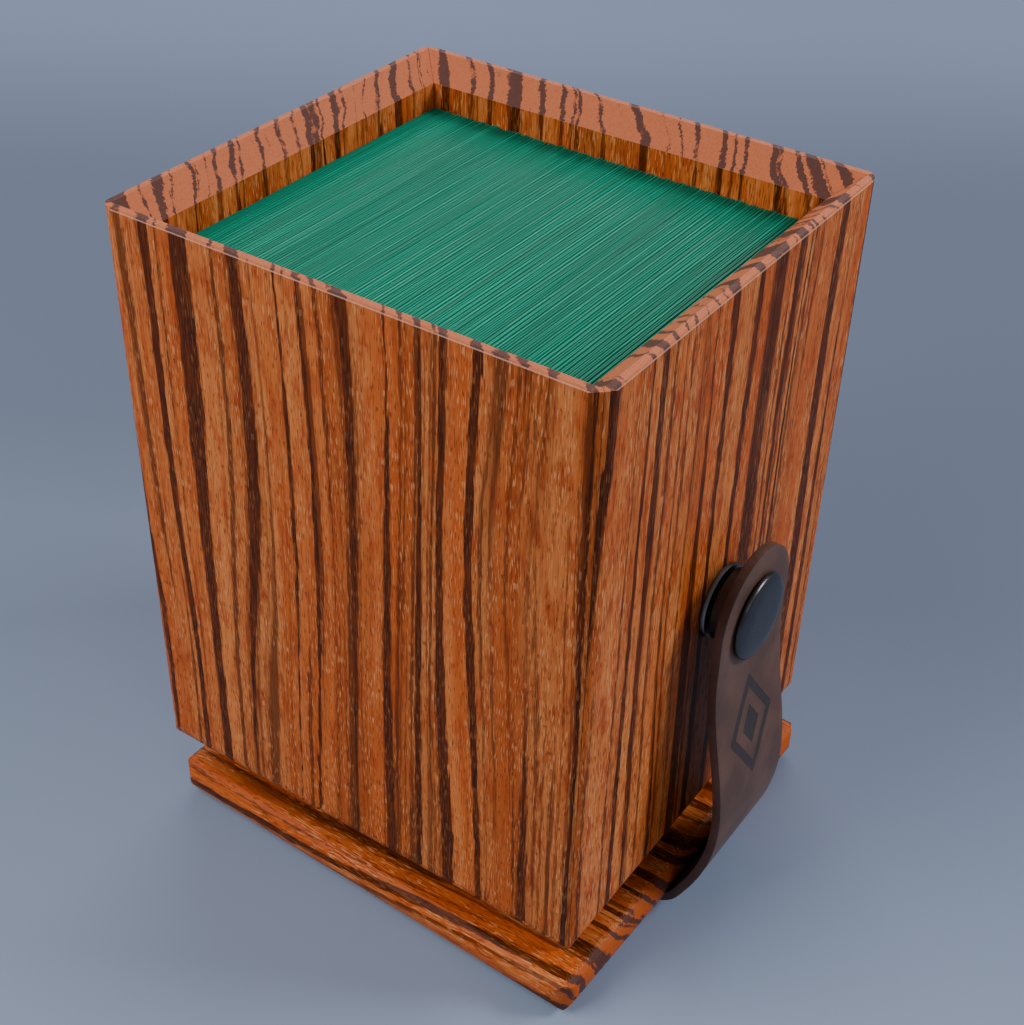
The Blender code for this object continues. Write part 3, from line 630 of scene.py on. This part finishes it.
def apply_modifiers(obj):
    """Keep the shape that the modifiers make."""
    depsgraph = bpy.context.evaluated_depsgraph_get()
    mesh = bpy.data.meshes.new_from_object(obj.evaluated_get(depsgraph))
    obj.modifiers.clear()
    obj.data = mesh
    mesh.name = obj.name


def cut_screw_holes(strap):
    """Leave room for the two screw heads in the strap's hidden end."""
    for x in SCREW_XS:
        work = bmesh.new()
        bmesh.ops.create_cone(
            work, cap_ends=True, segments=48, radius1=SCREW_HEAD_RADIUS, radius2=SCREW_HEAD_RADIUS,
            depth=SCREW_HOLE_DEPTH, matrix=Matrix.Translation((x, 0, 0)),
        )
        mesh = bpy.data.meshes.new("hole")
        work.to_mesh(mesh)
        work.free()
        hole = bpy.data.objects.new("hole", mesh)
        bpy.context.scene.collection.objects.link(hole)
        cut = strap.modifiers.new("hole", "BOOLEAN")
        cut.operation = "DIFFERENCE"
        cut.solver = "EXACT"
        cut.object = hole
        bpy.context.view_layer.update()
        apply_modifiers(strap)
        bpy.data.objects.remove(hole, do_unlink=True)


def add_strap():
    strap = bpy.data.objects.new("leather_strap", strap_mesh())
    bpy.context.scene.collection.objects.link(strap)
    face = leather_material("leather_face", *LEATHER_FACE, mark=True)
    back = leather_material("leather_back", *LEATHER_BACK_AND_SHADE)
    rim = leather_material("leather_rim", *LEATHER_RIM, RIM_ROUGHNESS)
    for material in (face, back, rim):
        strap.data.materials.append(material)
    thick = strap.modifiers.new("thickness", "SOLIDIFY")
    thick.thickness = STRAP_THICKNESS
    thick.offset = 0.0
    thick.material_offset = 1
    thick.material_offset_rim = 2
    apply_modifiers(strap)
    rounding = strap.modifiers.new("rounding", "BEVEL")
    rounding.width = STRAP_EDGE_ROUND
    rounding.segments = 3
    rounding.limit_method = "ANGLE"
    rounding.angle_limit = STRAP_EDGE_ANGLE
    rounding.material = 2
    apply_modifiers(strap)
    cut_screw_holes(strap)
    for polygon in strap.data.polygons:
        polygon.use_smooth = True
    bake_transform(strap)
    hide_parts("strap_anchor", "strap_tab")


# ================================================================ stage

# the floor's painted light and shade: bright and dark bands across the camera's line of sight, in
# metres from the box, painted shade towards one side and painted light far off
SIGHT_X, SIGHT_Y = -0.555, 0.832
FLOOR_FRONT_LIT = srgb(147, 161, 187)
FLOOR_BEHIND_SHADE, BEHIND_FROM, BEHIND_TO = srgb(110, 120, 140), -0.06, 0.13
FLOOR_BACK_LIT, BACK_FROM, BACK_TO = srgb(136, 149, 176), 0.24, 0.42
FLOOR_SIDE_SHADE, SIDE_FROM, SIDE_TO, SIDE_SHARE = srgb(76, 84, 100), -0.06, 0.16, 0.12
FLOOR_FAR_LIT, FAR_FROM, FAR_TO = srgb(226, 232, 242), 0.55, 1.8
FLOOR_ROUGHNESS, FLOOR_SPECULAR = 0.85, 0.1
FLOOR_SIZE, FLOOR_Z = 6.0, -0.05 * MM

LIGHT_TARGET = (0, 0, 0.05)
LIGHTS = (      # name, place, size, power, colour
    ("key", (-0.42, -0.57, 0.73), (0.69, 0.54), 6.9, (1.0, 0.98, 0.96)),
    ("side", (0.85, 0.62, 0.80), (0.45, 0.45), 9.6, (0.97, 0.98, 1.0)),
    ("glint", (1.1, -0.62, 0.81), (0.36, 0.36), 1.2, (0.98, 0.98, 1.0)),
    ("back", (-0.5, 0.95, 0.8), (1.0, 0.6), 5.0, (0.96, 0.98, 1.0)),
)
WORLD_COLOUR, WORLD_STRENGTH = srgb(205, 212, 224), 0.31


def add_floor():
    n = Nodes("floor_paper")
    x, y, _ = n.split(n.position())
    away = n.math("ADD", n.math("MULTIPLY", x, SIGHT_X), n.math("MULTIPLY", y, SIGHT_Y))
    # painted light fall-off: bright in front, painted shade behind the box, bright again further
    # back
    tone = n.mix(n.step(away, BEHIND_FROM, BEHIND_TO), FLOOR_FRONT_LIT, FLOOR_BEHIND_SHADE)
    tone = n.mix(n.step(away, BACK_FROM, BACK_TO), tone, FLOOR_BACK_LIT)
    # painted shade towards one side
    side = n.math("ADD", n.math("MULTIPLY", x, SIGHT_Y), n.math("MULTIPLY", y, -SIGHT_X))
    shade = n.math("MULTIPLY", n.step(side, SIDE_FROM, SIDE_TO), SIDE_SHARE)
    tone = n.mix(shade, tone, FLOOR_SIDE_SHADE)
    # painted light: the floor grows paler far from the box
    squares = n.math("ADD", n.math("MULTIPLY", x, x), n.math("MULTIPLY", y, y))
    tone = n.mix(n.step(n.math("SQRT", squares), FAR_FROM, FAR_TO), tone, FLOOR_FAR_LIT)
    n.put(n.shader.inputs["Base Color"], tone)
    n.shader.inputs["Roughness"].default_value = FLOOR_ROUGHNESS
    n.shader.inputs["Specular IOR Level"].default_value = FLOOR_SPECULAR
    bpy.ops.mesh.primitive_plane_add(size=FLOOR_SIZE, location=(0, 0, FLOOR_Z))
    floor = bpy.context.object
    floor.name = "floor"
    floor.data.materials.append(n.material)


def add_light(name, place, size, power, colour):
    data = bpy.data.lights.new(name, "AREA")
    data.shape = "RECTANGLE"
    data.size = size[0]
    data.size_y = size[1]
    data.energy = power
    data.color = colour
    light = bpy.data.objects.new(name, data)
    light.location = place
    aim = Vector(LIGHT_TARGET) - Vector(place)
    light.rotation_euler = aim.to_track_quat("-Z", "Y").to_euler()
    bpy.context.scene.collection.objects.link(light)


def add_lights():
    for light in LIGHTS:
        add_light(*light)
    world = bpy.data.worlds.new("studio")
    bpy.context.scene.world = world
    world.use_nodes = True
    background = world.node_tree.nodes["Background"]
    background.inputs["Color"].default_value = WORLD_COLOUR
    background.inputs["Strength"].default_value = WORLD_STRENGTH


def add_camera():
    data = bpy.data.cameras.new("camera")
    data.lens = CAMERA_LENS
    data.sensor_width = SENSOR
    data.clip_start = CLIP_NEAR
    data.clip_end = CLIP_FAR
    camera = bpy.data.objects.new("camera", data)
    a, e = CAMERA_AZIMUTH, CAMERA_ELEVATION
    back = Vector((math.sin(a) * math.cos(e), -math.cos(a) * math.cos(e), math.sin(e)))
    right = Vector((0, 0, 1)).cross(back).normalized()
    up = back.cross(right)
    cos_roll, sin_roll = math.cos(CAMERA_ROLL), math.sin(CAMERA_ROLL)
    rolled_right = right * cos_roll + up * sin_roll
    rolled_up = up * cos_roll - right * sin_roll
    turn = Matrix((rolled_right, rolled_up, back)).transposed().to_4x4()
    camera.matrix_world = Matrix.Translation(CAMERA_PLACE) @ turn
    bpy.context.scene.collection.objects.link(camera)
    bpy.context.scene.camera = camera


add_camera()
add_floor()
add_lights()
dress_wood()
dress_metal()
add_cards()
add_strap()
